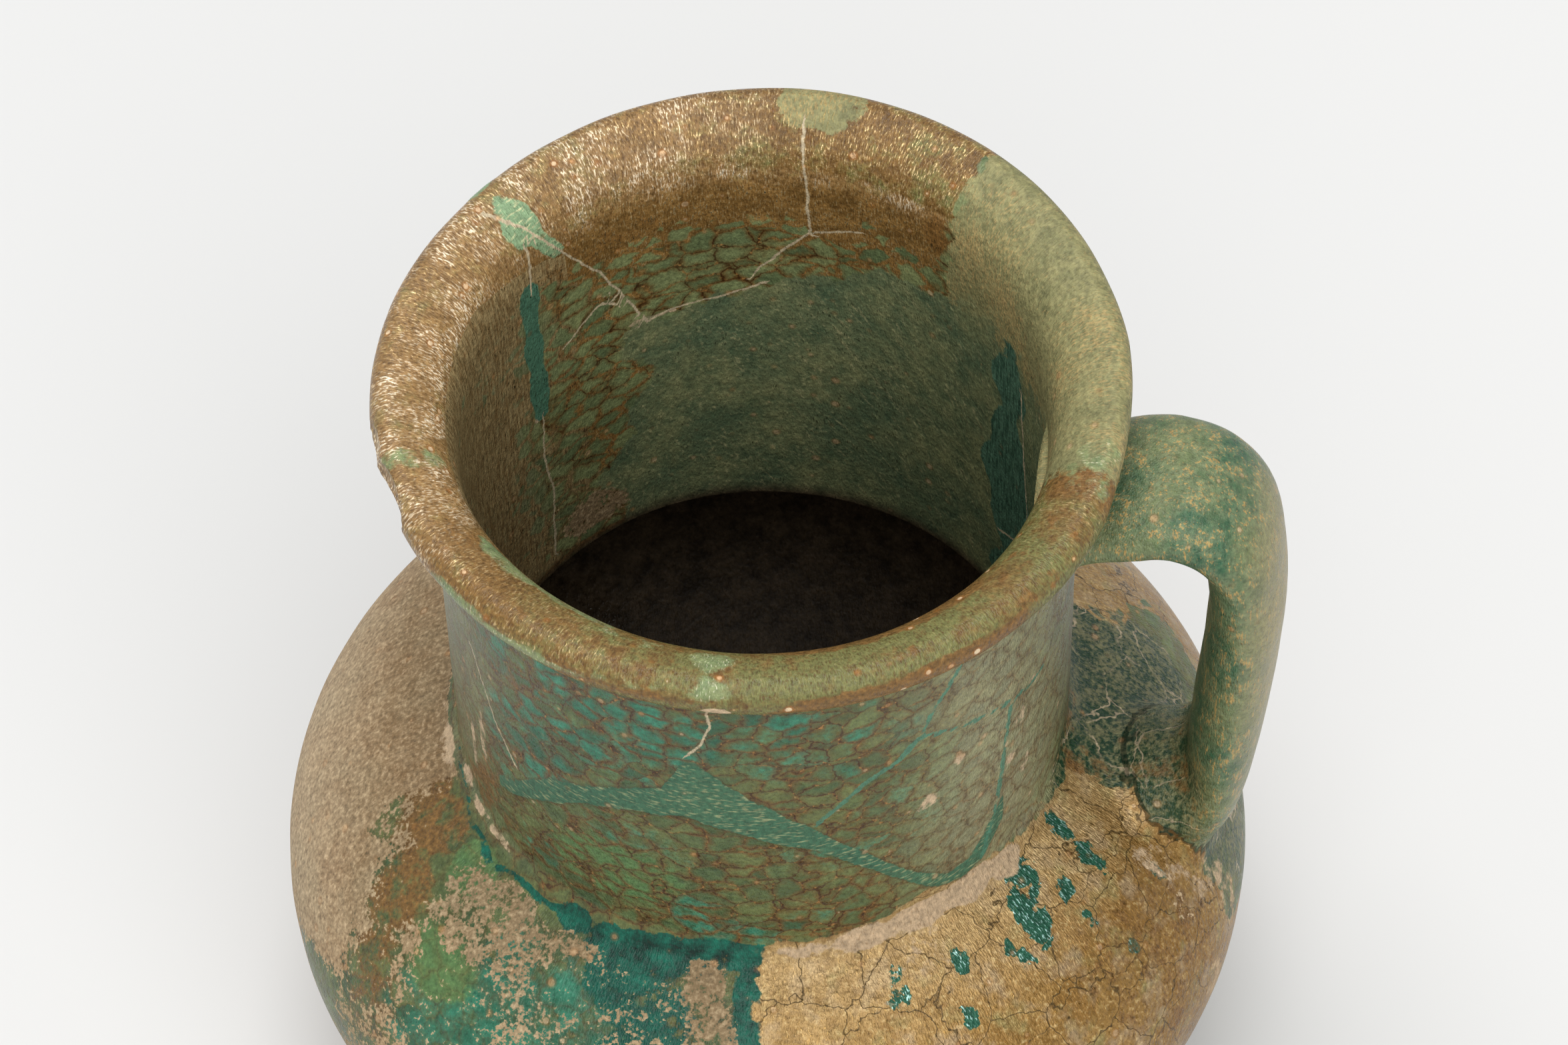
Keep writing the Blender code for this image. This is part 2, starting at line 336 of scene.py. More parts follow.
# Hand-thrown walls are never quite true, in waves and ripples of so many to the metre. The lip has
# lost some chips, each given by direction, distance from the axis, height and size.
UNEVEN = 0.00022
WAVES, RIPPLES, RIPPLE_SHARE = 38.0, 120.0, 0.45
NEAR_AXIS = 0.02
CHIP_IN, CHIP_ALONG, CHIP_UP = 0.85, 1.7, 1.1
CHIPS = (
    (207.0, 0.0546, 0.1538, 0.0044),
    (197.5, 0.0550, 0.1550, 0.0036),
    (190.0, 0.0551, 0.1552, 0.0027),
    (180.0, 0.0553, 0.1553, 0.0024),
    (173.0, 0.0556, 0.1545, 0.0033),
    (78.0, 0.0553, 0.1560, 0.0030),
    (150.0, 0.0548, 0.1562, 0.0022),
    (161.0, 0.0551, 0.1556, 0.0022),
    (217.0, 0.0552, 0.1545, 0.0026),
)

for index, spot in enumerate(place):
    push = noise.noise(Vector(spot) * WAVES) + RIPPLE_SHARE * noise.noise(Vector(spot) * RIPPLES)
    if inside[index]:
        push = -push
    wider = 1.0 + UNEVEN * push / max(reach[index], NEAR_AXIS)
    spot *= (wider, wider, 1.0)
for direction, distance, height, size in CHIPS:
    outward = Vector((math.cos(math.radians(direction)), math.sin(math.radians(direction)), 0.0))
    along = Vector((-outward.y, outward.x, 0.0))
    middle = np.array(outward * distance) + (0.0, 0.0, height)
    axes = np.array((outward * CHIP_IN * size, along * CHIP_ALONG * size, (0.0, 0.0, CHIP_UP * size)))
    local = (place - middle) @ np.linalg.inv(axes)
    depth = np.linalg.norm(local, axis=1)
    bitten = (depth < 1.0) & ~on_handle
    place[bitten] = middle + (local[bitten] / depth[bitten, None]) @ axes

# The mouth leans up at the back, and it is slightly saddle-shaped
LEAN = math.radians(3.3)
LEAN_DIRECTION = math.radians(99.0)
SADDLE = 0.0010
SADDLE_DIRECTION = math.radians(64.0)

share = np.clip((place[:, 2] - NECK_FOOT_HEIGHT) / (RIM_HEIGHT - NECK_FOOT_HEIGHT), 0.0, 1.0)
share = share * share * (3.0 - 2.0 * share)
turn = np.arctan2(place[:, 1], place[:, 0])
held_reach = np.minimum(reach, RIM_RADIUS)
place[:, 2] += share * held_reach * math.tan(LEAN) * np.cos(turn - LEAN_DIRECTION)
place[:, 2] += share * SADDLE * held_reach / RIM_RADIUS * np.cos(2.0 * (turn - SADDLE_DIRECTION))
mesh.vertices.foreach_set("co", place.ravel())
mesh.update()

# From here on the surface is read in degrees round the jug and in millimetres
turn = np.degrees(turn) % 360.0
high = place[:, 2] * 1000.0
wide = reach * 1000.0
outside = ~inside & ~on_handle
upright = np.array([point[1] for point in section])[row] * 1000.0


def ease(values, low, full):
    """0 below the low value and 1 above the full one, with a soft change between them."""
    share = np.clip((values - low) / (full - low), 0.0, 1.0)
    return share * share * (3.0 - 2.0 * share)


def round_from(direction):
    """How far round the jug each point is from a direction, in degrees, -180 to 180."""
    return (turn - direction + 180.0) % 360.0 - 180.0


def span(start, end, soft, stray=0.0):
    """1 from one direction round to another, fading out over some degrees at both ends. The ends can
    stray to and fro by some degrees up the wall."""
    half = ((end - start) % 360.0) / 2.0
    strayed = half + stray * (0.65 * np.sin(high / 6.3 + start) + 0.35 * np.sin(high / 2.3 + end))
    return 1.0 - ease(np.abs(round_from(start + half)), strayed - soft, strayed + soft)


def spots(places):
    """The strongest of some places, each with direction, height, half width, half height, strength."""
    found = np.zeros(count)
    for direction, height, across, up, strength in places:
        sideways = np.radians(round_from(direction)) * wide / across
        away = np.hypot(sideways, (high - height) / up)
        found = np.maximum(found, strength * (1.0 - ease(away, 0.55, 1.45)))
    return found


def edge_height(points):
    """The height of an edge that runs round the jug, in each point's direction."""
    directions, heights = zip(*sorted(points))
    return np.interp(turn, directions, heights)


# In millimetres, for points that no line comes near
FAR = 99.0


def line_gap(lines, radius):
    """How far each point is from the nearest of some lines, and the same with a sign for its side."""
    nearest = np.full(count, FAR)
    signed = np.full(count, FAR)
    for start, end in (ends for line in lines for ends in zip(line, line[1:])):
        x = np.radians(round_from(start[0])) * radius
        z = high - start[1]
        run = math.radians((end[0] - start[0] + 180.0) % 360.0 - 180.0) * radius
        rise = end[1] - start[1]
        length = math.hypot(run, rise)
        along = np.clip((x * run + z * rise) / length ** 2, 0.0, 1.0)
        gap = np.hypot(x - along * run, z - along * rise)
        side = np.sign(x * rise - z * run) * gap
        closer = gap < nearest
        signed = np.where(closer, side, signed)
        nearest = np.where(closer, gap, nearest)
    return nearest, signed


def strongest(*layers):
    """The strongest of several layers at each point."""
    return np.maximum.reduce(layers)


def keep(name, *channels):
    """Keep four numbers for each point of the surface, for the glaze to read."""
    values = np.stack(channels, axis=1).astype(np.float32)
    mesh.color_attributes.new(name, 'FLOAT_COLOR', 'POINT').data.foreach_set("color", values.ravel())


# Where the fills, the overpaint and the open cracks of the repair run, as directions in degrees and
# heights in mm. Reaches are distances from the axis, and OFF stands for points outside a fill.
NECK_REACH = 45.5
BORE_REACH = 41.2
NECK_FOOT_REACH = 47.0
BAND_TOP = ((214, 97), (226, 102), (237, 111), (253, 118), (261, 121), (265, 128), (268, 128),
            (276, 121), (287, 113), (305, 96), (313, 90), (319, 90), (328, 99))
BAND_LOW = ((214, 95), (227, 99), (245, 110), (255, 113), (265, 115), (277, 111), (288, 107),
            (299, 98), (311, 88), (317, 86), (322, 87), (328, 93))
FILLED_CRACKS = (
    ((287.5, 112.9), (297.3, 121.2), (303, 123), (307.5, 126.6), (310, 131), (315.8, 137.8), (318, 145)),
    ((307.5, 126.6), (318, 123), (331.8, 119.1), (341.7, 117.8)),
    ((328.9, 118.4), (327.4, 108.5), (325.8, 98.5), (322, 88)),
)
OUTER_CRACKS = (
    ((272, 147), (269.8, 140.4), (270.3, 137.3), (268.3, 132.4), (265.9, 129.6)),
    ((216, 125), (222, 113), (228, 107)),
)
INNER_CRACKS = (
    ((150, 158), (145.2, 155.1), (138, 147), (130.6, 139.6), (120.9, 125.3)),
    ((146.7, 152.7), (148.1, 144.9)),
    ((147.5, 117), (148.2, 108), (146, 99), (147.2, 84.1)),
    ((88.5, 158.5), (87, 150), (86.4, 141.1), (98.2, 131.6)),
    ((86.4, 141.1), (75.9, 143.4)),
    ((30.6, 133.5), (28.0, 116), (24.0, 98)),
    ((38, 96), (30, 99), (24, 92)),
    ((140, 128), (131, 133), (127, 131)),
    ((123, 124.4), (114, 126.2), (104, 127.0), (96, 129.4)),
)
TEAL_CRACK = ((200, 84.5), (204.7, 83.3), (209, 83.4), (213.5, 81.6), (217.3, 82.2), (223.7, 81.2),
              (229, 82.2), (237, 82), (243, 82.6), (251, 82.6))
DOT_DIRECTION, DOT_HEIGHT, DOT_RADIUS, DOT_REACH = 145.2, 155.1, 2.9, 43.5
DOT_TAIL = ((144, 153), (140, 149))
DOT_TAIL_WIDTH = 1.3
TEAL_STRIP = ((149.0, 145.5), (148.6, 132), (147.8, 118))
STRIP_WIDTH = 1.8
PANEL_DIRECTION, PANEL_HEIGHT, PANEL_ACROSS, PANEL_UP = 35.0, 111.0, 5.4, 26.0
DARK_PAINT_EDGE = ((128, 122), (123.9, 124.8), (102.5, 127.3), (84, 132), (68.6, 137.1), (55, 137))
NECK_LINE = ((0, 83), (268, 83), (280, 85.2), (292, 85.2), (303, 86.5), (308, 88.4), (315, 87),
             (325, 85.5), (342, 83))
OFF = -9.0

band = 0.8 * np.minimum(edge_height(BAND_TOP) - high, high - edge_height(BAND_LOW))
band = np.where(outside & (span(222, 328, 1) > 0.5), band, OFF)
fill_gap = np.where(outside, line_gap(FILLED_CRACKS, NECK_REACH)[0], FAR)
inner_gap, inner_side = line_gap(INNER_CRACKS, BORE_REACH)
outer_gap, outer_side = line_gap(OUTER_CRACKS, NECK_REACH)
crack_gap = np.select([inside, outside], [inner_gap, outer_gap], FAR)
crack_side = np.select([inside, outside], [inner_side, outer_side], FAR)
dot = DOT_RADIUS - np.hypot(np.radians(round_from(DOT_DIRECTION)) * DOT_REACH, (high - DOT_HEIGHT) * 1.1)
dot = np.maximum(dot, DOT_TAIL_WIDTH - line_gap((DOT_TAIL,), BORE_REACH)[0])
strip = STRIP_WIDTH + 0.35 * np.sin(high / 1.6) - line_gap((TEAL_STRIP,), BORE_REACH)[0]
panel = np.hypot(np.radians(round_from(PANEL_DIRECTION)) * BORE_REACH / PANEL_ACROSS,
                 (high - PANEL_HEIGHT) / PANEL_UP)
panel = (1.0 - panel) * PANEL_ACROSS + 1.2 * np.sin(high / 4.1) + 0.7 * np.sin(high / 1.7)
strip = np.where(inside, np.maximum(strip, panel), OFF)

on_lip = ease(upright, 147.0, 151.5) * ~on_handle
paint_edge = edge_height(DARK_PAINT_EDGE) + 0.8 * np.sin(turn / 2.7) + 0.5 * np.sin(turn / 1.1)
brush_end = 127.0 + 5.0 * np.sin(high / 6.5) + 2.5 * np.sin(high / 2.1 + 1.0)
dark_back = span(45, 160, 8) * (1.0 - ease(turn, brush_end - 4.0, brush_end + 4.0))
dark_back = dark_back * (1.0 - ease(high, paint_edge - 2.0, paint_edge + 2.0))
dark_paint = inside * strongest(dark_back, span(330, 57, 8) * (1.0 - ease(high, 128, 151)))
right_paint = span(349, 55.5, 4.5)
pale_paint = strongest((inside | (on_lip > 0.3)) * right_paint, spots([(86, 160.3, 6.4, 2.0, 1.0)]))

# How strongly each of the old finishes shows: the gold film of burial on the lip and the body
neck_line = edge_height(NECK_LINE)
body_side = outside * (1.0 - ease(high, neck_line - 0.9, neck_line + 0.9))
low_stray = 10.0 * (1.0 - ease(high, 56.0, 68.0))
film = strongest(
    on_lip * (1.0 - right_paint),
    inside * span(57, 215, 4) * (0.3 + 0.7 * ease(high, 137.0, 152.0)),
    inside * span(151, 236, 8, 6) * 0.66,
    body_side * span(277, 352, 2.5, low_stray),
    body_side * span(24, 75, 6, 12),
)
# Less olive at the left and back of the lip, which also places the painted glints and sheen there
lip_olive_and_glint_place = 0.46 + 0.26 * span(250, 340, 18) - 0.12 * span(150, 222, 18) - 0.085 * span(98, 150, 18)
lip_olive_and_glint_place = on_lip * lip_olive_and_glint_place

# The turquoise of the glaze itself, where it still shows or has been bared again: on the front and
# the sides first, then round the back
bare = outside * spots((
    (250, 136, 13, 6, 0.95), (262, 131, 9, 6, 0.8), (233, 116, 9, 8, 0.85), (230, 131, 7, 8, 0.6),
    (243, 122, 14, 8, 0.75), (276, 137, 12, 6, 0.75), (292, 131, 14, 9, 0.45), (261, 90, 6, 4, 0.6),
    (270, 88, 7, 3.5, 0.7), (279, 88, 7, 3, 0.6), (266, 94, 5, 3, 0.5), (287, 90, 6, 3, 0.45),
    (238, 92, 8, 5, 0.35), (226, 108, 7, 9, 0.5), (305, 108, 9, 9, 0.35), (256, 101, 9, 8, 0.55),
    (245, 97, 10, 7, 0.5), (290, 107, 12, 6, 0.35), (240, 71, 15, 9, 1.0), (252, 74, 13, 6, 0.95),
    (228, 67, 8, 6, 0.8),
    (122, 122, 13, 9, 0.6), (92, 98, 12, 8, 0.55), (62, 131, 10, 8, 0.5), (150, 104, 10, 9, 0.6),
    (175, 130, 9, 8, 0.6), (112, 66, 15, 6, 0.6), (158, 54, 12, 8, 0.5), (40, 104, 8, 10, 0.5),
))
bare = np.where(inside, -0.5, bare)

# Soil baked on to the body, towards the left and low down, and its beige crust in patches round the
# foot of the neck. It is thinner where the surface is worn.
low_down = 55.0 + 5.0 * np.sin(np.radians(turn) * 5.0) + 2.5 * np.sin(np.radians(turn) * 13.0)
worn = spots(((112, 66, 15, 5, 1.0), (158, 54, 12, 6, 0.9), (100, 72, 6, 4, 0.9)))
worn_rusty = spots(((211, 79.5, 7, 3, 1.0), (215, 74, 6, 4.5, 1.0), (205, 77, 4, 4, 0.7),
                    (219, 66, 5, 5, 0.8)))
soil = strongest(
    body_side * span(66, 214, 9, 9),
    0.8 * body_side * (1.0 - ease(high, low_down - 10.0, low_down + 6.0)) * (1.0 - 0.5 * span(320, 10, 9)),
    body_side * spots((
        (216, 68, 12, 9, 0.85), (219, 74.5, 6, 4, 0.7), (229, 76.5, 9, 3.2, 0.72), (238, 79, 7, 2.4, 0.72),
        (251, 79.5, 6, 2, 0.55), (268, 80.5, 4, 3.0, 0.75), (270, 76, 5, 5, 0.75), (222, 60, 12, 14, 0.66),
        (240, 66, 22, 12, 0.52), (262, 70, 8, 8, 0.66), (246, 72, 16, 6, 0.6), (224, 78.5, 8, 3, 0.72),
        (236, 77.5, 7, 3, 0.7), (344, 70, 3, 10, 0.5), (231, 80.6, 5, 1.4, 0.72), (245, 80.4, 5, 1.2, 0.7),
        (240, 74, 8, 4, 0.62), (258, 78, 4, 1.5, 0.6), (256, 75, 8, 4, 0.6), (264, 79, 6, 2.5, 0.58),
        (269, 74, 4, 6, 0.62), (213, 80.5, 3, 1.5, 0.65),
    )),
    inside * spots(((134.5, 87.6, 9, 5, 0.8), (121, 87, 8, 4, 0.75), (110, 87, 6, 3, 0.6))),
)
soil = soil * (1.0 - 0.4 * worn) * (1.0 - 0.5 * worn_rusty)

# Rust stains: on the body, up the neck and round the back, inside, on the lip and along the foot of the
# neck, and under the handle a brown that is painted shade where its foot meets the body
by_wall = 1.0 - ease(wide, 64.0, 70.0)
rust_and_shade = strongest(
    0.55 * body_side * span(322, 352, 10) * (1.0 - ease(high, 70, 82)),
    0.7 * body_side * worn_rusty,
    body_side * spots(((203, 80, 4, 2.6, 0.9), (210, 77.5, 6, 3.5, 0.8), (216, 71, 8, 6, 0.7),
                       (222, 62, 8, 8, 0.6))),
    outside * spots((
        (216, 92, 2.2, 7, 0.75), (209, 88, 3, 4, 0.6), (335, 86, 4, 2, 0.6), (100, 120, 7, 10, 0.5),
        (70, 100, 6, 9, 0.5), (140, 132, 7, 7, 0.5), (165, 96, 6, 8, 0.5), (30, 128, 6, 7, 0.5),
    )),
    inside * spots(((138, 142, 7, 9, 0.5), (143, 122, 6, 12, 0.5), (125, 146, 8, 3, 0.5),
                    (58, 150, 3, 4, 0.8), (132, 106, 6, 9, 0.4))),
    inside * 0.9 * np.exp(-((high - 81.5) / 0.9) ** 2),
    on_lip * span(280, 325, 8) * (1.0 - ease(high, 152.0, 153.2)) * 0.95,
    on_lip * spots((
        (258, 152.6, 14, 1.2, 0.66), (240, 155, 8, 1.5, 0.55), (300, 154.5, 8, 1.2, 0.55),
        (222, 154.5, 6, 2, 0.55), (346, 154, 3.5, 3, 0.7), (350, 154, 3.5, 4, 0.75), (338, 154, 3, 2, 0.6),
        (325, 153, 6, 1.5, 0.6), (236, 155, 8, 2, 0.55),
    )),
    (outside & ~(body_side > 0.5)) * spots((
        (219, 98, 2.5, 8, 0.62), (214, 90, 3, 6, 0.62), (224, 88, 2.5, 4, 0.55), (231, 130, 4, 3, 0.5),
        (288, 86, 9, 1.2, 0.6), (270, 87, 9, 1.5, 0.5),
    )),
    # Brown on the wall and the handle's inner side at its foot: painted shade
    ~inside * 0.6 * by_wall * spots(((354, 83, 4, 4, 0.9), (2, 87, 8, 4, 1.0))),
)

# Smooth green and deep teal places, and the dark green ground behind the handle
grass = strongest(
    body_side * spots(((221.5, 80, 4.5, 2.4, 0.95), (228, 72.5, 8, 4, 0.8), (339, 60, 4, 5, 0.7),
                       (334, 56, 5, 4, 0.7), (342, 52, 4, 6, 0.6))),
    outside * spots(((250, 97, 12, 8, 0.8), (345, 88, 8, 5, 0.6), (338, 92, 5, 12, 0.45))),
)
teal = outside * strongest(
    spots((
        (250, 81.8, 4, 2.0, 1.0), (256, 82.2, 4, 2.4, 1.0), (261, 82.4, 4.5, 2.6, 1.0),
        (267.5, 83.0, 4, 2.6, 1.0), (273, 83.6, 3.5, 2.2, 1.0), (277.5, 82.6, 3.2, 2.2, 1.0),
        (276, 79.5, 3.0, 3.0, 1.0), (275, 75.5, 3.0, 3.5, 1.0), (273, 71.5, 3.4, 3.5, 0.95),
        (262, 75, 9, 6, 0.78), (254, 79.5, 6, 3, 0.85), (341, 80.8, 2, 2, 0.8), (243, 82.5, 3.5, 1.8, 0.95),
    )),
    1.0 - 1.25 * line_gap((TEAL_CRACK,), NECK_FOOT_REACH)[0],
)
green_zone = ~inside * spots((
    (2, 79, 21, 6.5, 1.0), (16, 76, 12, 6, 1.0), (34, 81, 13, 4.5, 1.0), (351, 79, 9, 6, 1.0),
    (356, 84, 8, 5, 1.0), (0, 62, 9, 12, 0.6), (348.5, 72, 1.8, 6, 0.75), (353.5, 70, 2.5, 8, 0.75),
))

# Scuffs down to the clay, with a painted highlight and glints along the foot of the neck and a
# painted sheen under the neck, new mint fills on the lip, and flakes out of the gold film
scuff_and_highlight = strongest(
    outside * spots((
        (207, 84.8, 3, 1.4, 0.7), (214, 84.3, 4, 1.0, 0.66), (222, 84, 4, 1.0, 0.66),
        (197, 82.5, 5, 1.6, 0.7),
        # From 286 degrees round, the spots at 82 to 85 mm are a cream ridge along the foot of the neck that
        # is partly a painted highlight, and painted glints just below it
        (186, 82.5, 5, 1.4, 0.6), (286, 83.8, 6, 1.2, 0.75), (297, 84.0, 6, 1.9, 0.9),
        (308, 84.3, 6, 2.2, 0.95),
        (318, 84.0, 6, 2.2, 0.95), (327, 83.2, 4, 2.0, 0.85), (292, 82.4, 5, 0.8, 0.55),
        (305, 82.8, 5, 0.8, 0.55), (106, 104.5, 1.6, 1.0, 0.9), (272.5, 150.6, 2.2, 0.8, 1.2),
        (332, 113, 2.2, 3, 0.62), (336, 118, 2.2, 2, 0.62), (309, 110, 3, 2.5, 0.6),
        (217, 104, 1.5, 8, 0.65),
        (212, 98, 1.2, 8, 0.65), (346, 72, 3, 5, 0.6), (352, 60, 4, 10, 0.62), (344, 49, 5, 8, 0.6),
        # The spots here from 297 to 312 degrees, at 76 to 81 mm, are a painted sheen under the neck
        (348, 66, 2, 5, 0.6), (306, 80.5, 7, 2.5, 0.56), (297, 78, 5, 3, 0.5), (312, 76, 5, 2, 0.48),
        (329, 106, 3, 2, 0.62), (316, 116, 2, 1.5, 0.6), (334, 101, 2, 3, 0.6),
    )),
    inside * spots((
        (106, 104.5, 1.8, 1.3, 1.0), (103, 109, 1.4, 0.9, 0.9), (117, 125.2, 3, 1.1, 0.8),
        (122, 124.8, 3, 1.1, 0.85), (149, 117, 1.3, 1.3, 0.9), (98, 127.6, 6, 0.8, 0.6),
    )),
)
mint = on_lip * spots((
    (271.5, 153.6, 3.6, 1.3, 0.64), (242, 152.4, 12, 1.2, 0.66), (229, 153.0, 7, 1.8, 0.66),
    (203, 155.0, 2.5, 3, 0.56), (258, 153.5, 7, 1.0, 0.5), (352, 157, 4, 4, 0.56), (346, 155, 3, 2, 0.5),
))
flakes = body_side * spots((
    (328.4, 81.0, 2.0, 1.8, 1.0), (326.0, 80.2, 2.6, 1.9, 1.0), (324.2, 77.8, 2.4, 2.2, 1.0),
    (339.6, 81.4, 1.2, 2.2, 0.9), (339.1, 78.0, 1.8, 2.0, 0.8), (332.0, 78.0, 1.7, 1.2, 0.9),
    (331.5, 74.7, 1.2, 1.7, 0.85), (345.0, 71.3, 1.2, 1.6, 0.8), (310.1, 78.8, 1.3, 1.3, 0.85),
    (318.2, 77.4, 0.9, 1.1, 0.85), (319.3, 76.0, 1.4, 1.2, 0.85), (307.5, 74.5, 1.2, 1.2, 0.85),
    (299.0, 78.0, 1.8, 2.2, 0.75), (300.0, 80.6, 1.4, 1.0, 0.75), (333.9, 69.3, 1.2, 1.2, 0.7),
))

# Fibrous glaze on the left inside and on both sides of the neck, the unseen inside, painted dark as
# soil and shade, and the handle down to where its foot takes on the ground behind it
on_neck = outside & (high > neck_line)
neck_sides = strongest(span(196, 222, 9, 5), span(306, 354, 14, 4))
streaky = strongest(inside * span(150, 232, 12, 5), on_neck * 0.5 * neck_sides)
hidden_soil_and_shade = inside * (1.0 - ease(high, 80.0, 84.0))
handle_foot = spots(((354, 79, 15, 9, 1.0), (0, 74, 14, 8, 1.0))) * by_wall
handle_share = on_handle * (1.0 - 0.9 * handle_foot)
keep("finish", film, bare, soil, rust_and_shade)
keep("places", grass, teal, green_zone, scuff_and_highlight)
keep("paint", pale_paint, dark_paint, hidden_soil_and_shade, lip_olive_and_glint_place)
keep("sides", flakes, body_side, handle_share, streaky)
keep("repairs", band, dot, strip, mint)
keep("cracks", crack_side, crack_gap, on_lip, fill_gap)

# The neck's wall laid out flat, for patterns that run down it
LAID_OUT_RADIUS = 0.046
across, back = LAID_OUT_RADIUS * np.cos(np.radians(turn)), LAID_OUT_RADIUS * np.sin(np.radians(turn))
unrolled = np.stack((across, back, path), axis=1)
unrolled[on_handle] = place[on_handle]
mesh.attributes.new("unrolled", 'FLOAT_VECTOR', 'POINT').data.foreach_set("vector", unrolled.ravel())

# The relief that a finger would feel, in metres: the fills stand up a little, the neck's foot has a
# low ridge and the cracks lie deeper
FILL_LIFT = 0.00014
THIN_FILL_LIFT = 0.00012
RIDGE_LIFT = 0.00035
RIDGE_HEIGHT = 83.6
CRACK_DEPTH = 0.00015
mesh.update()
normals = np.empty(count * 3, dtype=np.float32)
mesh.vertex_normals.foreach_get("vector", normals)
normals = normals.reshape(count, 3)
lift = FILL_LIFT * ease(band, -0.4, 0.5) + THIN_FILL_LIFT * (1.0 - ease(fill_gap, 0.3, 1.3))
lift += THIN_FILL_LIFT * ease(dot, -0.4, 0.6)
lift += outside * RIDGE_LIFT * np.exp(-(upright - RIDGE_HEIGHT) ** 2) * span(180, 335, 12)
lift -= CRACK_DEPTH * (1.0 - ease(crack_gap, 0.2, 1.0))
place += normals * lift[:, None]
mesh.vertices.foreach_set("co", place.ravel())
mesh.update()
bpy.ops.object.select_all(action='DESELECT')
jug.select_set(True)
bpy.context.view_layer.objects.active = jug
bpy.ops.object.shade_smooth()

# Turquoise alkaline glaze on buff earthenware, crazed, and weathered by burial. The bare glaze is a
# soft glassy turquoise in cells with rust in the crazing, the weathered film is a brassy brown that
# glints, and the baked soil is dull and grainy.
glaze = bpy.data.materials.new("weathered_turquoise_alkaline_glaze")
glaze.use_nodes = True
nodes = glaze.node_tree.nodes
links = glaze.node_tree.links
shader = nodes["Principled BSDF"]


def add(kind, inputs, **settings):
    """Add a node with its settings, and link or set its inputs by name or number."""
    made = nodes.new("ShaderNode" + kind)
    for setting, value in settings.items():
        setattr(made, setting, value)
    for key, value in inputs.items():
        if isinstance(key, int):
            socket = made.inputs[key]
        else:
            socket = next(s for s in made.inputs if s.enabled and s.name == key)
        if isinstance(value, bpy.types.Node):
            value = next(s for s in value.outputs if s.enabled)
        if isinstance(value, bpy.types.NodeSocket):
            links.new(value, socket)
        else:
            socket.default_value = value
    return made


def recall(name):
    """The four numbers that were kept for each point of the surface under this name."""
    kept = add("Attribute", {}, attribute_name=name)
    return (*add("SeparateColor", {"Color": kept.outputs["Color"]}).outputs, kept.outputs["Alpha"])


def two_tones(pattern, start, full, dark, light):
    """A finish in two tones. The light one sets in between two levels of a pattern."""
    share = add("MapRange", {"Value": pattern, "From Min": start, "From Max": full})
    return add("Mix", {"Factor": share, "A": linear(dark), "B": linear(light)}, data_type='RGBA')


def broken_up(finish, *others):
    """A finish broken up by other colours. Each has a pattern, the two levels between which it sets
    in, its greatest share, and its sRGB hex code. Where the first level is the higher one, the colour
    sets in as the pattern falls."""
    for pattern, start, full, most, code in others:
        share = add("MapRange", {"Value": pattern, "From Min": start, "From Max": full, "To Max": most})
        finish = add("Mix", {"Factor": share, "A": finish, "B": linear(code)}, data_type='RGBA')
    return finish


def ragged(mask, patterns, start, full, most=1.0, change='LINEAR'):
    """Where a finish shows. Patterns, each with its weight, roughen its mask, and it sets in between
    two levels of the sum."""
    for pattern, weight in patterns:
        mask = add("Math", {0: pattern, 1: weight, 2: mask}, operation='MULTIPLY_ADD')
    return add("MapRange", {"Value": mask, "From Min": start, "From Max": full, "To Max": most},
               interpolation_type=change)


where = add("TexCoord", {}).outputs["Object"]
rightward, _, height_now = add("SeparateXYZ", {"Vector": where}).outputs
along_wall = add("Attribute", {}, attribute_name="unrolled").outputs["Vector"]
sunward = add("SeparateXYZ", {"Vector": along_wall}).outputs["X"]
film_mask, bare_mask, soil_mask, rust_and_shade_mask = recall("finish")
grass_mask, teal_mask, ground_mask, scuff_and_highlight_mask = recall("places")
pale_mask, dark_mask, hidden_soil_and_shade_mask, olive_and_glint_mask = recall("paint")
flake_mask, body_mask, handle_mask, streaky_mask = recall("sides")
band_reach, dot_reach, strip_reach, mint_mask = recall("repairs")
crack_side_mm, crack_gap_mm, lip_mask, fill_gap_mm = recall("cracks")

# Patterns shared by the finishes: clouds 14 mm across, blotches of 3 mm, a grain of 0.7 mm and bends
# of 5 mm. Dashes of 0.25 by 0.8 mm, streaks of 0.45 by 3 mm and hatching of 1.4 by 0.4 mm follow the
# wall, and brush marks of 0.7 by 5 mm cross it. The real dashes and streaks are finer still.
CLOUD_MM, BLOTCH_MM, GRAIN_MM, BEND_MM = 14, 3.0, 0.7, 5.0
clouds = add("TexNoise", {"Vector": where, "Scale": 1000 / CLOUD_MM, "Detail": 2.0, "Roughness": 0.6})
blotch = add("TexNoise", {"Vector": where, "Scale": 1000 / BLOTCH_MM, "Detail": 5.0, "Roughness": 0.7})
grain = add("TexNoise", {"Vector": where, "Scale": 1000 / GRAIN_MM, "Detail": 2.0, "Roughness": 0.6})
bender = add("TexNoise", {"Vector": where, "Scale": 1000 / BEND_MM, "Detail": 3.0, "Roughness": 0.6})
bend_red, bend_green, bend_blue = add("SeparateColor", {"Color": bender.outputs["Color"]}).outputs
brushed_way = add("VectorRotate", {"Vector": along_wall, "Axis": (0.3, 1.0, 0.0), "Angle": 0.75},
                  rotation_type='AXIS_ANGLE')
drawn = []
for way, across_mm, down_mm, detail, rough in (
        (along_wall, 0.25, 0.8, 1.0, 0.6), (along_wall, 0.45, 3.0, 2.0, 0.6),
        (along_wall, 1.4, 0.4, 1.0, 0.5), (brushed_way, 0.7, 5.0, 2.0, 0.65)):
    stretched = add("VectorMath", {0: way, 1: (1000 / across_mm, 1000 / across_mm, 1000 / down_mm)},
                    operation='MULTIPLY')
    drawn.append(add("TexNoise", {"Vector": stretched, "Scale": 1.0, "Detail": detail, "Roughness": rough}))
dashes, streaks, hatching, brush_marks = drawn

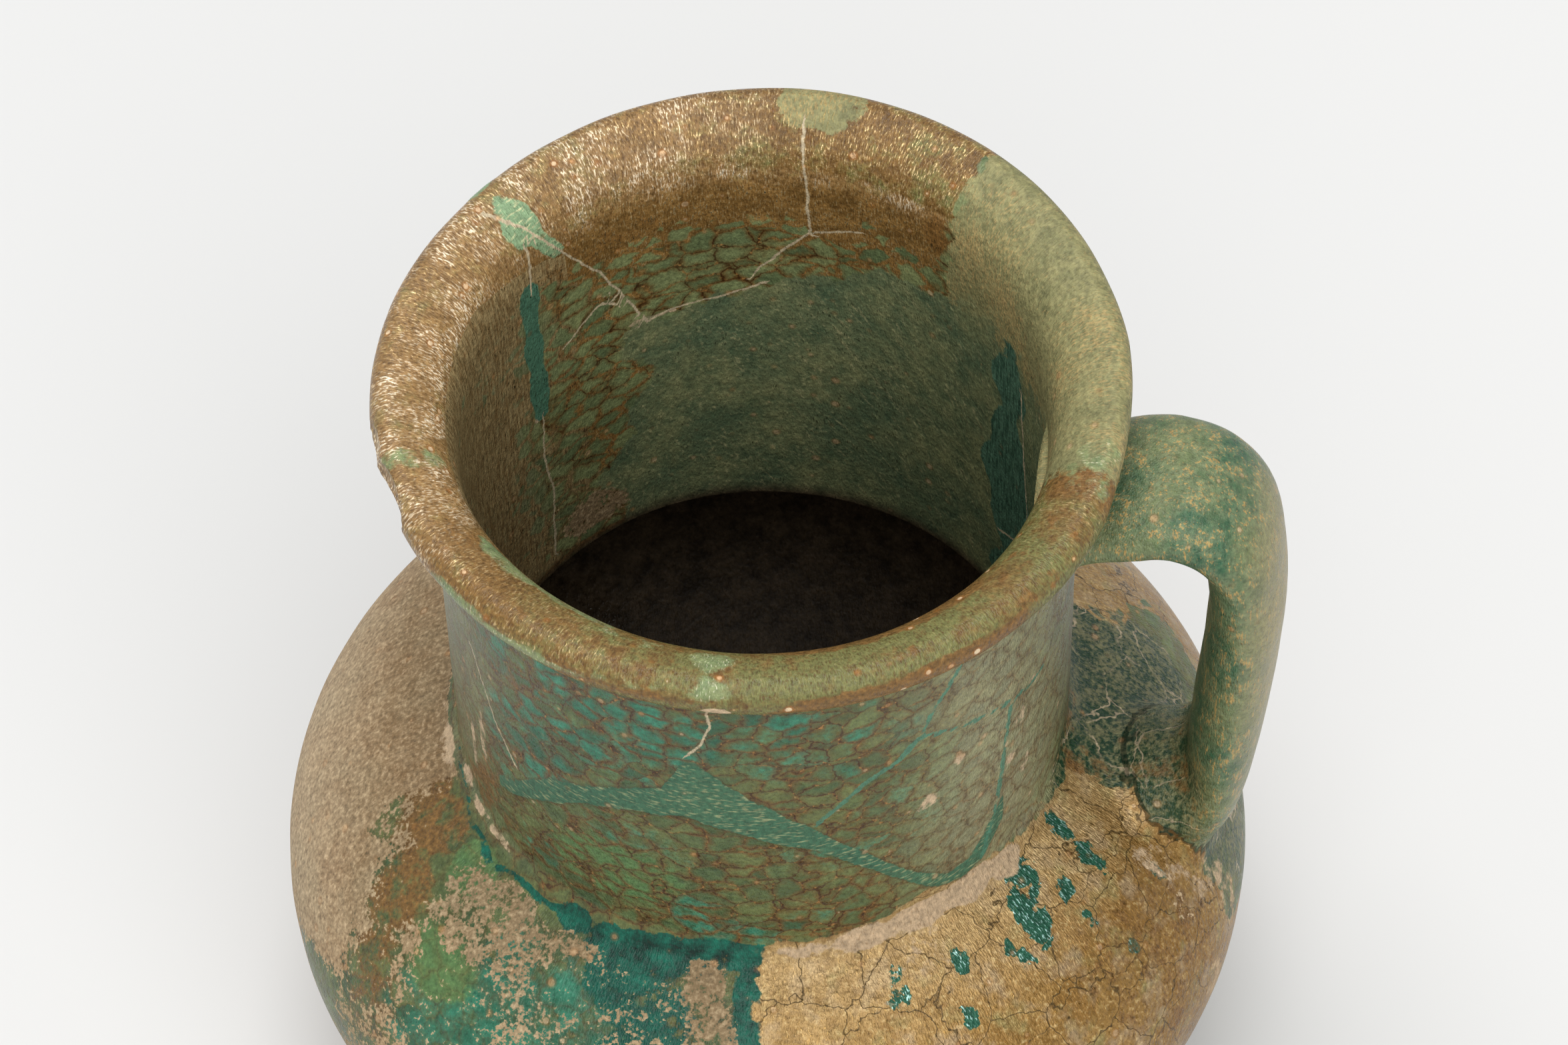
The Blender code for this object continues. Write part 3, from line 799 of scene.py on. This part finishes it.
# Crazed cells, about 4.5 mm across and flatter than they are wide, their edges bent by up to 4 mm.
# Veins run round cells of 10 mm.
CELL_MM, VEIN_MM, BENT, FLATTER = 4.6, 10.0, 0.0042, 1.55
bent = add("VectorMath", {0: bender.outputs["Color"], 1: (BENT, BENT, BENT)}, operation='MULTIPLY')
crazed_place = add("VectorMath", {0: where, 1: bent}, operation='ADD')
crazed_place = add("VectorMath", {0: crazed_place, 1: (1.0, 1.0, FLATTER)}, operation='MULTIPLY')
cell = add("TexVoronoi", {"Vector": crazed_place, "Scale": 1000 / CELL_MM})
cell_red, cell_green, cell_blue = add("SeparateColor", {"Color": cell.outputs["Color"]}).outputs
cell_edge = add("TexVoronoi", {"Vector": crazed_place, "Scale": 1000 / CELL_MM}, feature='DISTANCE_TO_EDGE')
craze = ragged(cell_edge, ((blotch, 0.10),), 0.10, 0.045, change='SMOOTHSTEP')
craze_halo = ragged(cell_edge, ((blotch, 0.10),), 0.30, 0.06, change='SMOOTHSTEP')
vein_edge = add("TexVoronoi", {"Vector": crazed_place, "Scale": 1000 / VEIN_MM}, feature='DISTANCE_TO_EDGE')

# The glaze under everything: sage and olive in clouds, turquoise in the cells that are bared, some
# darker cells, and smooth green places
olive = two_tones(blotch, 0.3, 0.7, "304427", "6d7d4e")
olive = broken_up(olive, (cell_green, 0.0, 1.0, 0.6, "6b6a3c"), (bare_mask, 0.0, -0.5, 0.42, "9ca373"))
turquoise = two_tones(blotch, 0.3, 0.7, "10523c", "3d8b70")
bared = ragged(bare_mask, ((cell_red, 0.6), (blotch, 1.4)), 1.35, 1.95, 0.95, 'SMOOTHSTEP')
colour = add("Mix", {"Factor": bared, "A": olive, "B": turquoise}, data_type='RGBA')
colour = broken_up(colour, (cell_blue, 0.35, 1.0, 0.55, "27452f"))
grassy = ragged(grass_mask, ((blotch, 1.0),), 0.9, 1.2, change='SMOOTHSTEP')
grass_green = two_tones(blotch, 0.0, 1.0, "345c36", "68824e")

# Fine upright fibres of decayed glaze on the sides of the neck, paler towards the right: partly a beige
# film, partly painted light from the right
fibres = broken_up(two_tones(streaks, 0.35, 0.65, "56593a", "918c6a"),
                   (sunward, 0.016, 0.036, 0.9, "bfb190"))
fibres_on = add("Math", {0: streaky_mask, 1: 0.75}, operation='MULTIPLY')
for share, finish in ((grassy, grass_green), (fibres_on, fibres)):
    colour = add("Mix", {"Factor": share, "A": colour, "B": finish}, data_type='RGBA')

# Rusty halos and dark lines along the crazing, faint on the body and among the fibres
plain_body = add("MapRange", {"Value": body_mask, "To Min": 1.0, "To Max": 0.3})
faint = add("MapRange", {"Value": streaky_mask, "From Max": 0.6, "To Min": 1.0, "To Max": 0.45})
faint = add("Math", {0: faint, 1: plain_body}, operation='MULTIPLY')
halo_on = add("MapRange", {"Value": bend_green, "From Min": 0.35, "From Max": 0.65, "To Min": 0.3,
                           "To Max": 0.92})
halo_on = add("Math", {0: halo_on, 1: craze_halo}, operation='MULTIPLY')
line_on = add("MapRange", {"Value": bend_red, "From Min": 0.35, "From Max": 0.6, "To Min": 0.6,
                           "To Max": 1.0})
line_on = add("Math", {0: line_on, 1: craze}, operation='MULTIPLY')
line_colour = two_tones(grain, 0.55, 0.68, "3e240e", "93693a")
for share, finish in ((halo_on, linear("644620")), (line_on, line_colour)):
    share = add("Math", {0: share, 1: faint}, operation='MULTIPLY')
    colour = add("Mix", {"Factor": share, "A": colour, "B": finish}, data_type='RGBA')

# Deep teal glaze, and the dark green ground behind the handle with its beige veins
deep = ragged(teal_mask, ((blotch, 1.8),), 1.45, 1.6, change='SMOOTHSTEP')
deep_teal = two_tones(blotch, 0.35, 0.65, "01271d", "0e6450")
ground = ragged(ground_mask, ((blotch, 1.0),), 0.95, 1.12, change='SMOOTHSTEP')
ground_fleck = add("Math", {0: grain, 1: blotch}, operation='ADD')
vein_wide = add("MapRange", {"Value": vein_edge, "From Min": 0.019, "From Max": 0.005})
vein_on = add("MapRange", {"Value": bend_blue, "From Min": 0.42, "From Max": 0.58, "To Min": 0.12,
                           "To Max": 0.9})
vein_on = add("Math", {0: vein_wide, 1: vein_on}, operation='MULTIPLY')
dark_green = two_tones(ground_fleck, 0.88, 1.15, "1c3d26", "6d6c4c")
dark_green = broken_up(dark_green, (vein_on, 0.0, 1.0, 1.0, "b3a184"))

# The gold film on the lip: brown to brass with bright flecks, painted glints in groups at the left and
# back with a painted paler sheen round them, brown dashes, and olive where the glaze shows through
lip_olive_on = ragged(olive_and_glint_mask, ((clouds, 0.8), (blotch, 1.8)), 1.68, 2.05, 0.95)
fleck_on = add("MapRange", {"Value": dashes, "From Min": 0.57, "From Max": 0.70},
               interpolation_type='SMOOTHSTEP')
fleck_less = add("MapRange", {"Value": olive_and_glint_mask, "From Min": 0.48, "From Max": 0.7, "To Min": 0.95,
                              "To Max": 0.12})
fleck_group = add("MapRange", {"Value": blotch, "From Min": 0.4, "From Max": 0.6, "To Min": 0.25})
for share in (fleck_less, fleck_group):
    fleck_on = add("Math", {0: fleck_on, 1: share}, operation='MULTIPLY')
glint_place = add("MapRange", {"Value": olive_and_glint_mask, "From Min": 0.44, "From Max": 0.34})
glint_place = add("Math", {0: glint_place, 1: lip_mask}, operation='MULTIPLY')
glint_group = add("MapRange", {"Value": bend_red, "From Min": 0.44, "From Max": 0.60})
glint_group = add("Math", {0: glint_group, 1: glint_place}, operation='MULTIPLY')
painted_lip_sheen = add("Math", {0: glint_group, 1: 0.3}, operation='MULTIPLY')
painted_lip_sheen = add("Math", {0: glint_place, 1: 0.22, 2: painted_lip_sheen}, operation='MULTIPLY_ADD')
glint = add("MapRange", {"Value": dashes, "From Min": 0.54, "From Max": 0.63})
glint = add("Math", {0: glint, 1: glint_group}, operation='MULTIPLY')
gold = broken_up(two_tones(blotch, 0.3, 0.7, "5e4521", "977340"),
                 (lip_olive_on, 0.0, 1.0, 1.0, "6c6d3f"), (fleck_on, 0.0, 1.0, 1.0, "e8cb96"),
                 (painted_lip_sheen, 0.0, 1.0, 1.0, "b8956a"), (glint, 0.0, 1.0, 1.0, "f3e2c4"),
                 (dashes, 0.48, 0.28, 0.7, "553a1c"))
below_lip = add("Math", {0: lip_mask, 1: streaky_mask}, operation='LESS_THAN')
gold_fibres = two_tones(streaks, 0.35, 0.65, "745c3a", "9c8860")

# On the body the film is a smooth gold with a play of amber, green and rose. It has a painted sheen
# under the neck, and it has brown cracks. Below the lip inside, it is fibrous.
painted_sheen_under_neck = add("MapRange", {"Value": height_now, "From Min": 0.073, "From Max": 0.081, "To Max": 0.8})
painted_sheen_under_neck = add("Math", {0: painted_sheen_under_neck, 1: blotch}, operation='MULTIPLY')
body_gold = broken_up(two_tones(blotch, 0.3, 0.7, "76551f", "a9864e"),
                      (clouds, 0.45, 0.62, 0.75, "86622c"), (bend_red, 0.55, 0.75, 0.6, "8d8c5c"),
                      (bend_green, 0.5, 0.65, 0.7, "a18a6a"), (painted_sheen_under_neck, 0.0, 1.0, 1.0, "c9ac7c"),
                      (grain, 0.56, 0.7, 0.26, "cfc092"), (vein_edge, 0.014, 0.004, 0.9, "4b3a1c"))
for share, finish in ((below_lip, gold_fibres), (body_mask, body_gold)):
    gold = add("Mix", {"Factor": share, "A": gold, "B": finish}, data_type='RGBA')
sway = add("MapRange", {"Value": clouds, "From Min": 0.3, "From Max": 0.7, "To Min": -0.15, "To Max": 0.15})
film_on = ragged(film_mask, ((blotch, 0.9), (craze_halo, 0.32), (sway, 1.0)), 0.98, 1.14,
                 change='SMOOTHSTEP')

# Where the film has flaked off, splinters of teal with painted blue-white glints. Rust stains spread from
# the crazing.
flaked = ragged(flake_mask, ((cell_blue, 0.5), (blotch, 1.8)), 1.72, 1.8)
flake_teal = broken_up(two_tones(blotch, 0.0, 1.0, "062c1e", "2f6a52"), (dashes, 0.58, 0.68, 1.0, "9cc4bb"))
# The rust brown also paints the shade under the handle's foot
rusty_and_shaded = ragged(rust_and_shade_mask, ((blotch, 1.6), (craze_halo, 0.12)), 1.3, 1.65, 0.9, 'SMOOTHSTEP')
rust_and_shade_brown = two_tones(grain, 0.0, 1.0, "54391c", "8a6434")

# Soil, dull and grainy, in a ragged crust, browner higher up, and paler at the far left as a painted
# highlight. Scuffs go down to the buff clay, and the same buff paints highlights round the neck's foot.
soil_on = ragged(soil_mask, ((blotch, 1.0), (grain, 0.75)), 1.50, 1.59, change='SMOOTHSTEP')
soil_colour = broken_up(two_tones(blotch, 0.3, 0.7, "7c5e3c", "ae9674"),
                        (clouds, 0.4, 0.7, 0.5, "8f8468"), (height_now, 0.062, 0.084, 0.6, "6f5a3c"),
                        (rightward, -0.056, -0.071, 0.4, "c8b496"), (grain, 0.5, 0.75, 0.3, "c9b595"),
                        (grain, 0.42, 0.25, 0.25, "5a482e"))
scuffed_and_highlit = ragged(scuff_and_highlight_mask, ((blotch, 1.0),), 1.05, 1.2, change='SMOOTHSTEP')

# The handle: sage green with gold worn through it in fine specks, and a painted beige highlight along
# its outer side
handle_gold = ragged(streaks, ((blotch, 1.0), (dashes, 0.5)), 1.33, 1.47, 0.85)
handle_green = broken_up(two_tones(clouds, 0.4, 0.6, "28543b", "606c47"),
                         (blotch, 0.35, 0.65, 0.6, "868b68"), (handle_gold, 0.0, 1.0, 1.0, "ab8c52"),
                         (rightward, 0.0695, 0.0745, 0.55, "a8966f"))
for share, finish in (
        (deep, deep_teal), (ground, dark_green), (film_on, gold), (flaked, flake_teal), (rusty_and_shaded, rust_and_shade_brown),
        (soil_on, soil_colour), (scuffed_and_highlit, linear("bba384")), (handle_mask, handle_green)):
    colour = add("Mix", {"Factor": share, "A": colour, "B": finish}, data_type='RGBA')

# Overpaint: sage on the right of the lip, dark green down the inside, brushed and scratched
pale_on = ragged(pale_mask, ((blotch, 2.0),), 1.45, 1.6)
brush_gold = ragged(dashes, ((clouds, 1.0),), 1.0, 1.25, 0.7)
pale_brushed = broken_up(two_tones(blotch, 0.3, 0.7, "6c6c48", "928c60"),
                         (brush_gold, 0.0, 1.0, 1.0, "ad9360"))
dark_on = ragged(dark_mask, ((blotch, 2.0),), 1.4, 1.65)
scratch = ragged(brush_marks, ((grain, 0.6),), 0.86, 1.06, 0.6)
scratch_group = add("MapRange", {"Value": bend_blue, "From Min": 0.4, "From Max": 0.62, "To Min": 0.25})
scratch = add("Math", {0: scratch, 1: scratch_group}, operation='MULTIPLY')
dark_brushed = broken_up(two_tones(blotch, 0.3, 0.7, "516044", "82845c"),
                         (clouds, 0.42, 0.62, 0.5, "3c5743"), (scratch, 0.0, 1.0, 1.0, "a39c74"))

# The coloured fills: a teal band round the neck with a dark edge, thin filled cracks, patches and a
# dot of mint, and teal strips inside
wander = add("Math", {0: blotch, 1: 2.0, 2: -1.0}, operation='MULTIPLY_ADD')
band_edge = ragged(band_reach, ((wander, 1.0),), -0.35, 0.0, 0.5)
band_on = ragged(band_reach, ((wander, 1.0),), 0.0, 0.2)
band_teal = broken_up(two_tones(clouds, 0.0, 1.0, "235745", "4d6e50"),
                      (hatching, 0.55, 0.72, 0.6, "a5a67a"))
thin_on = ragged(fill_gap_mm, ((wander, 0.9),), 0.55, 0.38, 0.9)
mint_on = ragged(mint_mask, ((blotch, 1.0),), 0.95, 1.15)
# The mint patches carry pale dashes as painted highlights
mint_green = broken_up(two_tones(bend_red, 0.0, 1.0, "5f7d57", "8f8e5e"),
                       (dashes, 0.58, 0.68, 1.0, "b9bb98"))
dot_on = ragged(dot_reach, ((wander, 1.0),), -0.1, 0.15)
dot_mint = broken_up(linear("7c9670"), (hatching, 0.55, 0.72, 0.6, "d2cb9c"))
strip_on = ragged(strip_reach, ((wander, 1.0),), -0.1, 0.15)
to_right = add("MapRange", {"Value": sunward, "From Min": 0.0, "From Max": 0.03, "To Max": 0.8})
strip_teal = add("Mix", {"Factor": to_right, "A": two_tones(blotch, 0.0, 1.0, "2f5646", "5c856b"),
                         "B": two_tones(streaks, 0.35, 0.65, "1c3b2d", "547560")}, data_type='RGBA')

# Open cracks, filled with pale dust
jagged = add("Math", {0: wander, 1: 0.7, 2: crack_side_mm}, operation='MULTIPLY_ADD')
crack_line = add("Math", {0: jagged}, operation='ABSOLUTE')
crack_line = add("MapRange", {"Value": crack_line, "From Min": 0.26, "From Max": 0.12})
crack_near = add("MapRange", {"Value": crack_gap_mm, "From Min": 1.1, "From Max": 0.8})
crack_on = add("Math", {0: crack_line, 1: crack_near}, operation='MULTIPLY')
for share, finish in (
        (pale_on, pale_brushed), (dark_on, dark_brushed), (band_edge, linear("3a3a20")),
        (band_on, band_teal), (thin_on, linear("44765f")), (mint_on, mint_green), (dot_on, dot_mint),
        (strip_on, strip_teal), (crack_on, linear("b8a88a"))):
    colour = add("Mix", {"Factor": share, "A": colour, "B": finish}, data_type='RGBA')

# Small cream specks in brown rings, about 3 mm apart, where the film has popped off, most of all on
# the front of the lip. The unseen inside is painted dark, as soil and as shade.
SPECK_MM = 3.0
speck_cell = add("TexVoronoi", {"Vector": where, "Scale": 1000 / SPECK_MM})
speck_red, speck_green, _ = add("SeparateColor", {"Color": speck_cell.outputs["Color"]}).outputs
speck_size = add("MapRange", {"Value": speck_red, "From Min": 0.4, "From Max": 1.0, "To Max": 0.21})
speck_inside = add("Math", {0: speck_size, 1: speck_cell.outputs["Distance"]}, operation='SUBTRACT')
speck_amount = add("MapRange", {"Value": lip_mask, "To Min": 0.35, "To Max": 0.9})
paint_thin = add("MapRange", {"Value": pale_on, "To Min": 1.0, "To Max": 0.35})
speck_amount = add("Math", {0: speck_amount, 1: paint_thin}, operation='MULTIPLY')
speck_halo = add("MapRange", {"Value": speck_inside, "From Min": -0.12, "From Max": 0.02})
for share in (speck_size, speck_amount, 4.5):
    speck_halo = add("Math", {0: speck_halo, 1: share}, operation='MULTIPLY')
speck_on = add("MapRange", {"Value": speck_inside, "From Min": 0.0, "From Max": 0.05})
speck_on = add("Math", {0: speck_on, 1: speck_amount}, operation='MULTIPLY')
speck_cream = two_tones(speck_green, 0.0, 1.0, "b98a58", "dcc7a4")
dark_soil_and_shade = two_tones(blotch, 0.35, 0.65, "271e12", "524432")
for share, finish in ((speck_halo, linear("945d25")), (speck_on, speck_cream), (hidden_soil_and_shade_mask, dark_soil_and_shade)):
    colour = add("Mix", {"Factor": share, "A": colour, "B": finish}, data_type='RGBA')

# A last fine mottle over everything
mottle = add("MapRange", {"Value": grain, "From Min": 0.25, "From Max": 0.75, "To Min": 0.68,
                          "To Max": 1.36})
mottle = add("CombineColor", {"Red": mottle, "Green": mottle, "Blue": mottle})
colour = add("Mix", {"Factor": 1.0, "A": colour, "B": mottle}, data_type='RGBA', blend_type='MULTIPLY')

# Gloss: the glaze is soft and glassy, the film glints, the soil, the scuffs and the repairs are dull
rough = add("MapRange", {"Value": grain, "From Min": 0.3, "From Max": 0.7, "To Min": 0.24, "To Max": 0.46})
for share, dull in ((soil_on, 0.8), (scuffed_and_highlit, 0.75), (pale_on, 0.55), (dark_on, 0.55), (band_on, 0.6)):
    rough = add("Mix", {"Factor": share, "A": rough, "B": dull}, data_type='FLOAT')
metal = add("Math", {0: body_mask, 1: 0.35, 2: fleck_on}, operation='MULTIPLY_ADD')
metal = add("Math", {0: metal, 1: film_on}, operation='MULTIPLY', use_clamp=True)
no_soil = add("Math", {0: 1.0, 1: soil_on}, operation='SUBTRACT')
metal = add("Math", {0: metal, 1: no_soil}, operation='MULTIPLY')

# The fine relief of dashes, blotches and grain, each by its share of 1.2 mm
RELIEF_DEPTH = 0.0012
relief = add("Math", {0: dashes, 1: 0.16}, operation='MULTIPLY')
for pattern, share in ((blotch, 0.30), (grain, 0.08)):
    relief = add("Math", {0: pattern, 1: share, 2: relief}, operation='MULTIPLY_ADD')
bump = add("Bump", {"Height": relief, "Distance": RELIEF_DEPTH, "Strength": 1.0})

links.new(next(s for s in colour.outputs if s.enabled), shader.inputs["Base Color"])
links.new(next(s for s in rough.outputs if s.enabled), shader.inputs["Roughness"])
links.new(metal.outputs[0], shader.inputs["Metallic"])
links.new(bump.outputs[0], shader.inputs["Normal"])
shader.inputs["IOR"].default_value = 1.5
shader.inputs["Specular IOR Level"].default_value = 0.32
mesh.materials.clear()
mesh.materials.append(glaze)

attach(jug, "root")
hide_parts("jug")
